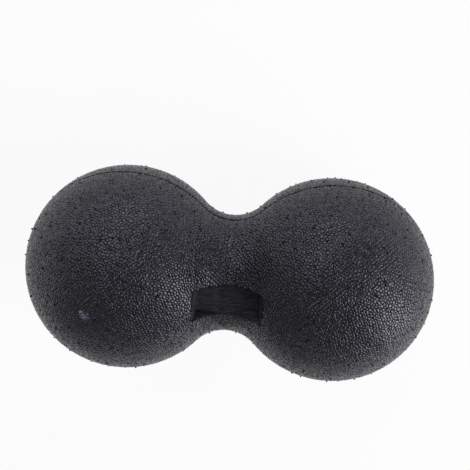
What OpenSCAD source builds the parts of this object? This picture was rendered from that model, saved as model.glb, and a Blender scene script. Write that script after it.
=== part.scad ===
// Peanut massage ball
// A one-piece moulded foam roller: two balls joined by a narrow waist that the spine rests over.
// Units are millimetres. The origin is the centre of the waist, X runs through both balls and
// +Z points out of the middle of the label panel, square to the plane where the mould parts.

/* [Balls] */
// Overall length over both balls
length = 240; // [224:1:320]
// Diameter of each ball
ball_d = 120; // [100:1:125]

/* [Waist] */
// Diameter at the narrowest point
waist_d = 69; // [50:1:85]

/* [Label panel] */
// Length of the panel's flat floor along the waist
panel_l = 34.4; // [20:0.2:40]
// Width of the floor across the waist
panel_w = 18.2; // [10:0.2:30]
// Depth of the floor below the waist at its middle
panel_depth = 4.4; // [2:0.1:10]
// Draft of the two end walls, in degrees
end_draft = 8; // [0:1:20]
// Draft of the two long walls, in degrees
side_draft = 2; // [0:1:10]

/* [Parting line] */
// Width of the fine groove where the two halves of the mould met
groove_w = 0.6; // [0.2:0.1:1.5]
// Depth of that groove
groove_depth = 0.4; // [0.2:0.1:1]

/* [Vent pips] */
// Diameter of each pip, where foam was drawn into a steam vent
pip_d = 1; // [0.6:0.1:2]
// Height of each pip above the skin
pip_h = 0.6; // [0.3:0.1:1.5]
// Angle between rings of pips, seen from the ball's centre, in degrees
pip_step = 15; // [12:1:30]

/* [Hidden] */
$fn = 96;
foam = [0.13, 0.13, 0.15];
ball_r = ball_d / 2;
waist_r = waist_d / 2;
// Distance from the middle of the waist to each ball's centre
ball_x = length / 2 - ball_r;
// Radius of the arc that runs into both balls without a corner, and its centre's height
arc_r = (ball_x * ball_x + waist_r * waist_r - ball_r * ball_r) / (2 * (ball_r - waist_r));
arc_y = waist_r + arc_r;
// Where the arc meets a ball, measured along X
meet_x = ball_x * arc_r / (arc_r + ball_r);
// The arc is sunk this far into the balls, so that the two surfaces cross and don't just touch
sink = 0.002;
// Height of the panel's floor above the axis, and how far its end walls reach along X
floor_z = waist_r - panel_depth;
panel_x = panel_l / 2 + (ball_r - floor_z) * tan(end_draft);
// No pips nearer to the middle of the waist than this
pip_free_x = max(meet_x, panel_x) + 3 * pip_d;

// One ball's half profile beside the waist.
module ball_profile(inset) {
    intersection() {
        translate([ball_x, 0])
            circle(r = ball_r - inset);
        translate([meet_x / 2, 0])
            square([length, ball_d]);
    }
}

// Half of the lengthwise outline, above the axis, moved inwards all round by inset.
module half_outline(inset = 0) {
    difference() {
        union() {
            polygon([[-ball_x, 0], [ball_x, 0], [0, arc_y]]);
            ball_profile(inset);
            mirror([1, 0])
                ball_profile(inset);
        }
        translate([0, arc_y])
            circle(r = arc_r + inset + sink);
    }
}

// The whole outline in the plane where the mould parts.
module outline(inset = 0) {
    half_outline(inset);
    mirror([0, 1])
        half_outline(inset);
}

// The half outline turned once round the X axis.
module turned_body() {
    rotate([0, -90, 0])
        rotate_extrude()
            rotate(-90)
                half_outline();
}

// A slot's section that opens upwards by its draft.
module drafted_slot(w, draft) {
    h = ball_d;
    polygon([[-w / 2, 0], [w / 2, 0], [w / 2 + h * tan(draft), h], [-w / 2 - h * tan(draft), h]]);
}

// The sunk label panel: a flat floor with four drafted walls.
module panel_pocket() {
    translate([0, 0, floor_z])
        intersection() {
            rotate([90, 0, 0])
                linear_extrude(height = ball_d, center = true)
                    drafted_slot(panel_l, end_draft);
            rotate([90, 0, 90])
                linear_extrude(height = length, center = true)
                    drafted_slot(panel_w, side_draft);
        }
}

// The fine groove all round, in the plane where the mould parts.
module parting_groove() {
    linear_extrude(height = groove_w, center = true)
        difference() {
            outline(-1);
            outline(groove_depth);
        }
}

// Rings of pips on one quarter of the moulding, round each ball's own vertical axis.
module vent_pips() {
    for (tilt = [pip_step : pip_step : 80]) {
        count = round(360 / pip_step * sin(tilt));
        for (i = [0 : count - 1]) {
            turn = 360 * (i + 0.5) / count;
            pip_x = ball_x + ball_r * sin(tilt) * cos(turn);
            if (pip_x > pip_free_x)
                translate([ball_x, 0, 0])
                    rotate([0, tilt, turn])
                        translate([0, 0, ball_r - pip_h])
                            cylinder(d = pip_d, h = 2 * pip_h, $fn = 6);
        }
    }
}

module peanut_body() {
    color(foam) {
        difference() {
            turned_body();
            panel_pocket();
            parting_groove();
        }
        for (mx = [0, 1], mz = [0, 1])
            mirror([mx, 0, 0])
                mirror([0, 0, mz])
                    vent_pips();
    }
}

peanut_body();
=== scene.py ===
"""Looks of the peanut massage ball: a moulded foam skin with a pebbled grain."""
import math

import bmesh
import bpy
import numpy as np
from mathutils import Matrix, Vector
from mathutils.geometry import delaunay_2d_cdt


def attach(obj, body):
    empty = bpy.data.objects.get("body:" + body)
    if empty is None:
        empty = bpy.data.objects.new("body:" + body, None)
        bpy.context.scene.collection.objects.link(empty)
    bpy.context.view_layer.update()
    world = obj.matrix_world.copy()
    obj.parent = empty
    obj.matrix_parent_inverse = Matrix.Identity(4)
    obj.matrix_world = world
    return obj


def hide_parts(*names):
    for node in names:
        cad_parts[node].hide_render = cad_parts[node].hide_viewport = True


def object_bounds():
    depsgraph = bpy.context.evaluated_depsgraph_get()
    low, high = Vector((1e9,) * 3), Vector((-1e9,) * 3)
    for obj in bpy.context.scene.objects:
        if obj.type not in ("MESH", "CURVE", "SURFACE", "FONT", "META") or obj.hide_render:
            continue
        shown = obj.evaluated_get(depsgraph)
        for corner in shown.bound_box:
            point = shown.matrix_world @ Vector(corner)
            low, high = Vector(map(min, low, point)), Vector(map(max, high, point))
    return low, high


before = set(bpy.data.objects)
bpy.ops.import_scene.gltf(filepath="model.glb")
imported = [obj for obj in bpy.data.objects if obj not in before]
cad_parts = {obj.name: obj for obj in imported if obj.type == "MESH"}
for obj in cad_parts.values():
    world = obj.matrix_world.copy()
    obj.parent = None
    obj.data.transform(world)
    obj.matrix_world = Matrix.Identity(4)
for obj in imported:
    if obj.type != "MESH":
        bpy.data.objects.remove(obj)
CAD_LOW, CAD_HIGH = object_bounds()
MM = 0.001

# Sizes of the moulding
BALL_X = 60 * MM
BALL_R = 60 * MM
WAIST_R = 34.5 * MM
PANEL_FLOOR_Z = WAIST_R - 4.4 * MM
PANEL_L, PANEL_W = 34.4 * MM, 18.2 * MM
END_DRAFT, SIDE_DRAFT = math.radians(8), math.radians(2)
FILLET, FILLET_STEPS = 0.6 * MM, 3
GROOVE_W, GROOVE_DEPTH = 0.8 * MM, 0.7 * MM
GROOVE_CLEARANCE = 1 * MM
GROOVE_STEPS = 301
BALL_STEPS, ARC_STEPS = 8000, 3000
SHARP_ANGLE = math.radians(40)

# Grain: a pebble on each seed, and valleys where the cells round the seeds meet
GRAIN_SEED = 12
PEBBLES = 30200
GOLDEN_ANGLE = math.pi * (3 - math.sqrt(5))
SKIN_INSET = 0.22 * MM
JITTER = 0.65 * MM
POLE_GAP = 0.4 * MM
NEAR_AXIS = 2 * MM
PEBBLE_UP, PEBBLE_HIGHEST = 0.16 * MM, 1.2
VALLEY_DOWN, VALLEY_DEEPEST = 0.22 * MM, 1.3
MAP_SHIFT, MAP_EPSILON = 6, 1e-9

# The crown tells the material how high a point of the grain lies: 1 on top of a pebble, 0 in the
# deepest valleys and less in a pit
SHALLOW_CROWN = 0.28
PIT_SHARE, PIT_CROWN = 0.006, -0.3
# Pips take a crown near the valleys', so they get the valleys' dark colour, which is painted shade, and
# little gloss
PIP_CROWN = 0.05

# Vent pips. Each ring's width and height are shares of the pip's radius and height.
PIP_SEED = 5
PIP_COUNT, PIP_SPACING = 380, 6 * MM
PIP_R, PIP_H, PIP_LEAN = 0.5 * MM, 0.65 * MM, 0.2 * MM
PIP_SIZES, PIP_HEADROOM = (0.75, 1.15), 1.2
PIP_RINGS = ((1.0, 0.0), (0.8, 0.75))
PANEL_CLEAR_X, PANEL_CLEAR_Y = 24 * MM, 14 * MM
GROOVE_CLEAR_Z = 1.5 * MM

# Foam. The colours and the roughness each go from the valleys to the pebbles; the darker colour in the
# valleys is painted shade.
FOAM_AND_VALLEY_SHADE_COLOURS = ((0.006, 0.006, 0.0075, 1), (0.013, 0.013, 0.016, 1))
FOAM_COLOUR_SPAN = (0, 0.5)
DOME = ((0.12, 0.38), (0.3, 0.72), (0.55, 0.96))
DOME_HEIGHT = 0.48 * MM
FINE_SCALE, FINE_DETAIL = 1500, 3
FINE_STRENGTH, FINE_HEIGHT = 0.4, 0.05 * MM
FOAM_ROUGHNESS, FOAM_ROUGHNESS_SPAN = (0.45, 0.18), (0, 0.5)
# The specular level falls to nothing in the valleys: painted shade in the gloss
FOAM_SPECULAR, FOAM_SPECULAR_SPAN = 0.6, (0, 0.12)
# Black foam reflects a little bluer than its surroundings
COOL_SHEEN = (0.85, 0.82, 1.0, 1)

# Foam that was pressed against polished metal, with faint streaks along X
PANEL_COLOURS = ((0.013, 0.013, 0.017, 1), (0.036, 0.036, 0.045, 1))
PANEL_SPECULAR = 0.3
# The parting groove's near-black colours and low gloss are painted shade, standing for the shadow down in
# the groove
GROOVE_SHADE_COLOURS = ((0.001, 0.001, 0.001, 1), (0.004, 0.004, 0.004, 1))
GROOVE_SHADE_SPECULAR = 0.05
STREAK_SCALE = (200, 800, 800)
STREAK_SPAN = (0.4, 0.6)
STREAK_STRENGTH, STREAK_HEIGHT = 0.5, 0.15 * MM
MOULDED_ROUGHNESS = 0.55

# Marks on the left ball, each with its place, radius and colour: a pale scuff, a blue-grey one
# that runs on from it, and a faint olive spot. A mark is full inside its core and fades outside.
MARKS = (
    (Vector((-76.6, 0.7, 57.7)) * MM, 2.2 * MM, (0.30, 0.33, 0.37, 1)),
    (Vector((-74.8, -1.1, 58.1)) * MM, 3.2 * MM, (0.13, 0.17, 0.22, 1)),
    (Vector((-70.4, 5.8, 58.8)) * MM, 2.4 * MM, (0.020, 0.019, 0.007, 1)),
)
MARK_CORE = 0.6
FLECK_SCALE, FLECK_SPAN = 1100, (0.42, 0.6)

# Floor: a white table, which glows to the camera and in reflections and still keeps the shadow
FLOOR_SIZE, FLOOR_GAP = 40, 0.5 * MM
FLOOR_WHITE = (0.95, 0.95, 0.95, 1)
FLOOR_ROUGHNESS = 0.8
FLOOR_GLOW_SHARE = 0.92
WHITE = (1, 1, 1, 1)

# Sky: white at the horizon and grey above it
SKY_GREY = (0.2, 0.2, 0.2, 1)
HORIZON = (0.02, 0.16)

# Soft lamps that face the object: name, azimuth and elevation in degrees, and power in watts
LAMPS = (
    ("side_low", 340, 18, 5.3),
    ("side_high", 0, 38, 5.4),
    ("back_low", 90, 8, 2.7),
    ("back_left", 130, 8, 1.0),
    ("back_high", 112.5, 38, 2.5),
    ("left_low", 190, 10, 0.7),
)
SOFTBOX_SIZE, SOFTBOX_REACH = 0.7, 1.1

# Camera, as fitted to the outline, the parting line and the panel. The focal length is in pixels.
SENSOR_WIDTH = 36
FOCAL_LENGTH, IMAGE_WIDTH = 765, 470
CAMERA_PLACE = Vector((2.6, 218.0, 400.9)) * MM
CAMERA_RIGHT = Vector((0.99781712, 0.05858101, -0.03048386))
CAMERA_UP = Vector((-0.06600672, 0.89890387, -0.43314541))
CAMERA_BACK = Vector((0.00202797, 0.43421205, 0.90080841))


class Outline:
    """The half outline from the right ball's pole to the left ball's, moved inwards by inset."""

    def __init__(self, inset):
        arc_r = (BALL_X**2 + WAIST_R**2 - BALL_R**2) / (2 * (BALL_R - WAIST_R))
        arc_y = WAIST_R + arc_r
        half_arc = math.atan2(BALL_X, arc_y)
        ball = np.linspace(0, math.pi - math.atan2(arc_y, BALL_X), BALL_STEPS)
        arc = np.linspace(half_arc, -half_arc, ARC_STEPS)[1:-1]
        near, far = BALL_R - inset, arc_r + inset
        right = np.c_[BALL_X + near * np.cos(ball), near * np.sin(ball), np.cos(ball), np.sin(ball)]
        waist = np.c_[far * np.sin(arc), arc_y - far * np.cos(arc), -np.sin(arc), np.cos(arc)]
        left = right[::-1] * [-1, 1, -1, 1]
        self.line = np.vstack([right, waist, left])
        step = np.hypot(np.diff(self.line[:, 0]), np.diff(self.line[:, 1]))
        rho = (self.line[1:, 1] + self.line[:-1, 1]) / 2
        self.length = np.r_[0, np.cumsum(step)]
        self.area = np.r_[0, np.cumsum(step * rho)]
        self.stretch = np.r_[0, np.cumsum(step / rho)]

    def at(self, length):
        """Where the outline is after this length: x, distance from the axis, and the normal."""
        return [np.interp(length, self.length, self.line[:, k]) for k in range(4)]


def seeds(outline, rng):
    """The pebbles' centres, on a shaken golden-angle spiral: places, normals and a flat map.

    The map keeps angles, so that neighbours on the skin are neighbours on the map.
    """
    index = np.arange(PEBBLES)
    along = np.interp((index + 0.5) / PEBBLES * outline.area[-1], outline.area, outline.length)
    along += rng.uniform(-JITTER, JITTER, PEBBLES)
    along = np.clip(along, POLE_GAP, outline.length[-1] - POLE_GAP)
    x, rho, nx, nr = outline.at(along)
    turn = index * GOLDEN_ANGLE + rng.uniform(-JITTER, JITTER, PEBBLES) / np.maximum(rho, NEAR_AXIS)
    y, z = np.cos(turn), np.sin(turn)
    reach = np.exp(np.interp(along, outline.length, outline.stretch) - MAP_SHIFT)
    return np.c_[x, rho * y, rho * z], np.c_[nx, nr * y, nr * z], np.c_[reach * y, reach * z]


def neighbours(flat):
    """Triangles between neighbouring seeds. The ones with the number past the last close the far pole."""
    made = delaunay_2d_cdt([Vector(p) for p in flat], [], [], 0, MAP_EPSILON, False)
    triangles = [tuple(t) for t in made[2]]
    directed = {(t[k], t[(k + 1) % 3]) for t in triangles for k in range(3)}
    triangles += [(q, p, len(flat)) for p, q in directed if (q, p) not in directed]
    return np.array(triangles)


def unit(vectors):
    """The same directions, each with length 1."""
    return vectors / np.linalg.norm(vectors, axis=-1, keepdims=True)


def grained_skin():
    """The skin's points, normals, crowns (1 on a pebble, 0 in a valley, less in a pit) and triangles."""
    rng = np.random.default_rng(GRAIN_SEED)
    outline = Outline(SKIN_INSET)
    tops, normals, flat = seeds(outline, rng)
    cells = neighbours(flat)
    tops = np.vstack([tops, outline.line[-1, :2].tolist() + [0]])
    normals = np.vstack([normals, [-1, 0, 0]])
    valleys = tops[cells].mean(axis=1)
    valley_normals = unit(normals[cells].mean(axis=1))
    shallow = rng.uniform(0, 1, len(cells))
    valleys -= valley_normals * VALLEY_DOWN * (VALLEY_DEEPEST - shallow[:, None])
    tops += normals * PEBBLE_UP * rng.uniform(0.0, PEBBLE_HIGHEST, (len(tops), 1))
    beside = {}
    for number, cell in enumerate(cells.tolist()):
        for k in range(3):
            beside[cell[k], cell[(k + 1) % 3]] = len(tops) + number
    triangles = [(q, valley, beside[q, p]) for (p, q), valley in beside.items()]
    points = np.vstack([tops, valleys])
    normals = np.vstack([normals, valley_normals])
    hollows = np.where(rng.random(len(cells)) < PIT_SHARE, PIT_CROWN, SHALLOW_CROWN * shallow**2)
    crowns = np.r_[np.ones(len(tops)), hollows]
    return points, normals, crowns, triangles


def pip_places(points, normals, rng):
    """Pebbles that carry a pip: spaced out, clear of the panel and the parting line, inside the box."""
    tips = points + normals * PIP_H * PIP_HEADROOM
    chosen = []
    kept = np.empty((0, 3))
    for v in rng.permutation(PEBBLES):
        x, y, z = points[v]
        outside = any(abs(tips[v][k]) > CAD_HIGH[k] for k in range(3))
        on_panel = abs(x) < PANEL_CLEAR_X and abs(y) < PANEL_CLEAR_Y and z > 0
        if outside or on_panel or abs(z) < GROOVE_CLEAR_Z:
            continue
        if np.min(np.sum((kept - points[v]) ** 2, axis=1), initial=np.inf) < PIP_SPACING**2:
            continue
        chosen.append(v)
        kept = np.vstack([kept, points[v]])
        if len(chosen) == PIP_COUNT:
            break
    return chosen


def with_pips(points, normals, crowns, triangles):
    """Puts a small leaning nub in place of some pebbles."""
    rng = np.random.default_rng(PIP_SEED)
    fans = {v: {} for v in pip_places(points, normals, rng)}
    kept = []
    for t in triangles:
        if t[0] in fans:
            fans[t[0]][t[1]] = t[2]
        else:
            kept.append(t)
    more = []
    for v, follow in fans.items():
        ring = [min(follow)]
        while follow[ring[-1]] != ring[0]:
            ring.append(follow[ring[-1]])
        centre, normal = points[v], normals[v]
        out = points[ring] - centre
        spokes = unit(out - np.outer(out @ normal, normal))
        size = rng.uniform(*PIP_SIZES)
        lean = rng.uniform(-PIP_LEAN, PIP_LEAN, 3)
        lean -= normal * (lean @ normal)
        for width, height in PIP_RINGS:
            level = centre + spokes * PIP_R * width * size
            level = level + normal * PIP_H * height * size + lean * height
            first = len(points) + len(more)
            more.extend(level)
            inner = list(range(first, first + len(ring)))
            for k in range(len(ring)):
                n = (k + 1) % len(ring)
                kept += [(ring[k], ring[n], inner[k]), (ring[n], inner[n], inner[k])]
            ring = inner
        kept += [(ring[k], ring[(k + 1) % len(ring)], v) for k in range(len(ring))]
        points[v] = centre + normal * PIP_H * size + lean
        # The nub gets the valleys' dark colour, painted shade
        crowns[v] = PIP_CROWN
    points = np.vstack([points, more])
    crowns = np.r_[crowns, np.full(len(more), PIP_CROWN)]
    return points, crowns, kept


def skin_object():
    """The whole skin as one mesh, with the crowns as an attribute of its points."""
    points, normals, crowns, triangles = grained_skin()
    points, crowns, triangles = with_pips(points, normals, crowns, triangles)
    mesh = bpy.data.meshes.new("foam_skin")
    mesh.from_pydata(points.tolist(), [], triangles)
    crown = mesh.attributes.new("crown", "FLOAT", "POINT")
    crown.data.foreach_set("value", crowns)
    obj = bpy.data.objects.new("foam_skin", mesh)
    bpy.context.collection.objects.link(obj)
    return obj


def add_panel_cutter(work):
    """The space of the label panel: a flat floor with a small fillet, and four walls that open outwards."""
    corners = []
    for level in (0, BALL_R):
        half_l = PANEL_L / 2 + level * math.tan(END_DRAFT)
        half_w = PANEL_W / 2 + level * math.tan(SIDE_DRAFT)
        for sx, sy in ((-1, -1), (1, -1), (1, 1), (-1, 1)):
            corners.append(work.verts.new((sx * half_l, sy * half_w, PANEL_FLOOR_Z + level)))
    sides = [(3, 2, 1, 0), (4, 5, 6, 7), (0, 1, 5, 4), (1, 2, 6, 5), (2, 3, 7, 6), (3, 0, 4, 7)]
    faces = [work.faces.new([corners[k] for k in side]) for side in sides]
    edges = list(faces[0].edges)
    bmesh.ops.bevel(work, geom=edges, offset=FILLET, segments=FILLET_STEPS, profile=0.5, affect="EDGES")


def add_groove_cutter(work):
    """A thin ring that follows the outline in the plane where the mould parts."""
    loops = []
    outside, bottom = -GROOVE_CLEARANCE, SKIN_INSET + GROOVE_DEPTH
    for inset, z in ((outside, -1), (outside, 1), (bottom, 1), (bottom, -1)):
        outline = Outline(inset)
        x, rho, _, _ = outline.at(np.linspace(0, outline.length[-1], GROOVE_STEPS))
        ring = list(zip(x, rho)) + [(a, -b) for a, b in list(zip(x, rho))[-2:0:-1]]
        loops.append([work.verts.new((a, b, z * GROOVE_W / 2)) for a, b in ring])
    for k in range(4):
        a, b = loops[k], loops[(k + 1) % 4]
        for i in range(len(a)):
            n = (i + 1) % len(a)
            work.faces.new((a[i], a[n], b[n], b[i])).material_index = 1


def cut(body, panel, groove):
    """Cuts the panel and the parting groove out of the skin, each in its own material."""
    work = bmesh.new()
    add_panel_cutter(work)
    add_groove_cutter(work)
    bmesh.ops.recalc_face_normals(work, faces=work.faces)
    mesh = bpy.data.meshes.new("cutter")
    work.to_mesh(mesh)
    work.free()
    mesh.materials.append(panel)
    mesh.materials.append(groove)
    cutter = bpy.data.objects.new("cutter", mesh)
    bpy.context.collection.objects.link(cutter)
    step = body.modifiers.new("cut", "BOOLEAN")
    step.operation = "DIFFERENCE"
    step.solver = "EXACT"
    step.material_mode = "TRANSFER"
    step.object = cutter
    made = bpy.data.meshes.new_from_object(body.evaluated_get(bpy.context.evaluated_depsgraph_get()))
    body.modifiers.clear()
    body.data = made
    bpy.data.objects.remove(cutter)


def shade(mesh):
    """Smooth shading everywhere but at the edges of the panel and the groove."""
    work = bmesh.new()
    work.from_mesh(mesh)
    bmesh.ops.triangulate(work, faces=[f for f in work.faces if len(f.verts) > 3])
    for f in work.faces:
        f.smooth = True
    for e in work.edges:
        kinds = {f.material_index for f in e.link_faces}
        steep = len(e.link_faces) == 2 and e.calc_face_angle(0) > SHARP_ANGLE
        if len(kinds) > 1 or (kinds != {0} and steep):
            e.smooth = False
    work.to_mesh(mesh)
    work.free()


def new_material(name):
    """A material with nodes, its node tree and its main shader."""
    material = bpy.data.materials.new(name)
    material.use_nodes = True
    return material, material.node_tree, material.node_tree.nodes["Principled BSDF"]


def noise(tree, vector, scale, detail=2):
    """Smooth random values from 0 to 1."""
    node = tree.nodes.new("ShaderNodeTexNoise")
    node.inputs["Scale"].default_value = scale
    node.inputs["Detail"].default_value = detail
    tree.links.new(vector, node.inputs["Vector"])
    return node.outputs["Fac"]


def remap(tree, value, span, result=(0, 1)):
    """Carries a value from one span of numbers to another, and holds it inside."""
    node = tree.nodes.new("ShaderNodeMapRange")
    node.inputs["From Min"].default_value = span[0]
    node.inputs["From Max"].default_value = span[1]
    node.inputs["To Min"].default_value = result[0]
    node.inputs["To Max"].default_value = result[1]
    tree.links.new(value, node.inputs["Value"])
    return node.outputs["Result"]


def blend(tree, value, span, colours):
    """Goes from one colour to the other as the value goes through the span."""
    node = tree.nodes.new("ShaderNodeValToRGB")
    for stop, position, colour in zip(node.color_ramp.elements, span, colours):
        stop.position = position
        stop.color = colour
    tree.links.new(value, node.inputs["Fac"])
    return node.outputs["Color"]


def combine(tree, operation, first, second):
    """The product, the larger or another combination of two values."""
    node = tree.nodes.new("ShaderNodeMath")
    node.operation = operation
    tree.links.new(first, node.inputs[0])
    tree.links.new(second, node.inputs[1])
    return node.outputs["Value"]


def bumped(tree, height, strength, distance):
    """A bump node, which another one can be laid over."""
    node = tree.nodes.new("ShaderNodeBump")
    node.inputs["Strength"].default_value = strength
    node.inputs["Distance"].default_value = distance
    tree.links.new(height, node.inputs["Height"])
    return node


def domed(tree, crown):
    """The height of the grain at a crown: pebbles round out quickly and have broad tops."""
    node = tree.nodes.new("ShaderNodeFloatCurve")
    curve = node.mapping.curves[0]
    curve.points[0].location = (0, 0)
    curve.points[1].location = (1, 1)
    for point in DOME:
        curve.points.new(*point)
    node.mapping.update()
    tree.links.new(crown, node.inputs["Value"])
    return node.outputs["Value"]


def marked(tree, colour, place, mark):
    """Lays a small ragged mark over a colour."""
    spot, radius, tint = mark
    away = tree.nodes.new("ShaderNodeVectorMath")
    away.operation = "DISTANCE"
    away.inputs[1].default_value = spot
    tree.links.new(place, away.inputs[0])
    fade = remap(tree, away.outputs["Value"], (radius, MARK_CORE * radius))
    ragged = remap(tree, noise(tree, place, FLECK_SCALE), FLECK_SPAN)
    mix = tree.nodes.new("ShaderNodeMix")
    mix.data_type = "RGBA"
    tree.links.new(combine(tree, "MULTIPLY", fade, ragged), mix.inputs["Factor"])
    tree.links.new(colour, mix.inputs[6])
    mix.inputs[7].default_value = tint
    return mix.outputs[2]


def foam_material():
    """Black foam, whose colour, gloss and bump follow the crowns of the grain. The darker colour and weaker
    gloss in the valleys are painted shade.
    """
    material, tree, shader = new_material("black_foam")
    place = tree.nodes.new("ShaderNodeTexCoord").outputs["Object"]
    attribute = tree.nodes.new("ShaderNodeAttribute")
    attribute.attribute_name = "crown"
    crown = attribute.outputs["Fac"]
    # The foam's colour, darkened towards the valleys as painted shade
    colour = blend(tree, crown, FOAM_COLOUR_SPAN, FOAM_AND_VALLEY_SHADE_COLOURS)
    for mark in MARKS:
        colour = marked(tree, colour, place, mark)
    tree.links.new(colour, shader.inputs["Base Color"])
    pebbles = bumped(tree, domed(tree, crown), 1, DOME_HEIGHT)
    fine = bumped(tree, noise(tree, place, FINE_SCALE, FINE_DETAIL), FINE_STRENGTH, FINE_HEIGHT)
    tree.links.new(pebbles.outputs["Normal"], fine.inputs["Normal"])
    tree.links.new(fine.outputs["Normal"], shader.inputs["Normal"])
    roughness = remap(tree, crown, FOAM_ROUGHNESS_SPAN, FOAM_ROUGHNESS)
    tree.links.new(roughness, shader.inputs["Roughness"])
    # The gloss, cut to nothing in the valleys as painted shade
    specular = remap(tree, crown, FOAM_SPECULAR_SPAN, (0, FOAM_SPECULAR))
    tree.links.new(specular, shader.inputs["Specular IOR Level"])
    shader.inputs["Specular Tint"].default_value = COOL_SHEEN
    return material


def moulded_material(name, colours, specular):
    """Plain foam with faint streaks along X, in the colours given; for the groove these are painted shade.
    """
    material, tree, shader = new_material(name)
    place = tree.nodes.new("ShaderNodeTexCoord")
    stretch = tree.nodes.new("ShaderNodeMapping")
    stretch.inputs["Scale"].default_value = STREAK_SCALE
    tree.links.new(place.outputs["Object"], stretch.inputs["Vector"])
    streaks = noise(tree, stretch.outputs["Vector"], 1)
    bump = bumped(tree, streaks, STREAK_STRENGTH, STREAK_HEIGHT)
    tree.links.new(bump.outputs["Normal"], shader.inputs["Normal"])
    tree.links.new(blend(tree, streaks, STREAK_SPAN, colours), shader.inputs["Base Color"])
    shader.inputs["Roughness"].default_value = MOULDED_ROUGHNESS
    shader.inputs["Specular IOR Level"].default_value = specular
    shader.inputs["Specular Tint"].default_value = COOL_SHEEN
    return material


def build_ball():
    """The one piece: the skin, with the panel and the groove cut out of it."""
    body = skin_object()
    body.data.materials.append(foam_material())
    panel = moulded_material("smooth_panel", PANEL_COLOURS, PANEL_SPECULAR)
    # The groove's near-black colours are painted shade
    groove = moulded_material("groove_painted_shade", GROOVE_SHADE_COLOURS, GROOVE_SHADE_SPECULAR)
    cut(body, panel, groove)
    shade(body.data)
    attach(body, "root")
    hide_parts("peanut_body")


def build_floor():
    """A white floor just below the ball."""
    bpy.ops.mesh.primitive_plane_add(size=FLOOR_SIZE, location=(0, 0, CAD_LOW.z - FLOOR_GAP))
    floor = bpy.context.object
    floor.name = "floor"
    material, tree, shader = new_material("white_table")
    shader.inputs["Base Color"].default_value = FLOOR_WHITE
    shader.inputs["Roughness"].default_value = FLOOR_ROUGHNESS
    glow = tree.nodes.new("ShaderNodeEmission")
    glow.inputs["Color"].default_value = WHITE
    glow.inputs["Strength"].default_value = 1
    rays = tree.nodes.new("ShaderNodeLightPath").outputs
    seen = combine(tree, "MAXIMUM", rays["Is Camera Ray"], rays["Is Glossy Ray"])
    seen = combine(tree, "MAXIMUM", seen, rays["Is Transmission Ray"])
    share = remap(tree, seen, (0, 1), (0, FLOOR_GLOW_SHARE))
    mix = tree.nodes.new("ShaderNodeMixShader")
    tree.links.new(share, mix.inputs["Fac"])
    tree.links.new(shader.outputs["BSDF"], mix.inputs[1])
    tree.links.new(glow.outputs["Emission"], mix.inputs[2])
    tree.links.new(mix.outputs["Shader"], tree.nodes["Material Output"].inputs["Surface"])
    floor.data.materials.append(material)


def softbox(name, azimuth, elevation, power):
    """A large round lamp that faces the object. Azimuth 0 is +X and 90 is +Y."""
    data = bpy.data.lights.new(name, "AREA")
    data.shape = "DISK"
    data.size = SOFTBOX_SIZE
    data.energy = power
    lamp = bpy.data.objects.new(name, data)
    turn, rise = math.radians(azimuth), math.radians(elevation)
    toward = Vector((math.cos(rise) * math.cos(turn), math.cos(rise) * math.sin(turn), math.sin(rise)))
    lamp.location = toward * SOFTBOX_REACH
    lamp.rotation_euler = toward.to_track_quat("Z", "Y").to_euler()
    bpy.context.collection.objects.link(lamp)


def build_light():
    """A dim sky that is white at the horizon, and the soft lamps."""
    world = bpy.data.worlds.new("studio")
    bpy.context.scene.world = world
    world.use_nodes = True
    tree = world.node_tree
    place = tree.nodes.new("ShaderNodeTexCoord")
    parts = tree.nodes.new("ShaderNodeSeparateXYZ")
    tree.links.new(place.outputs["Generated"], parts.inputs["Vector"])
    sky = blend(tree, parts.outputs["Z"], HORIZON, (WHITE, SKY_GREY))
    tree.links.new(sky, tree.nodes["Background"].inputs["Color"])
    for lamp in LAMPS:
        softbox(*lamp)


def build_camera():
    """A camera at the photograph's viewing angle."""
    data = bpy.data.cameras.new("camera")
    data.sensor_width = SENSOR_WIDTH
    data.lens = FOCAL_LENGTH / IMAGE_WIDTH * SENSOR_WIDTH
    camera = bpy.data.objects.new("camera", data)
    turned = Matrix((CAMERA_RIGHT, CAMERA_UP, CAMERA_BACK)).transposed().to_4x4()
    camera.matrix_world = Matrix.Translation(CAMERA_PLACE) @ turned
    bpy.context.collection.objects.link(camera)
    bpy.context.scene.camera = camera


build_camera()
build_ball()
build_floor()
build_light()
bpy.context.scene.view_settings.view_transform = "Standard"
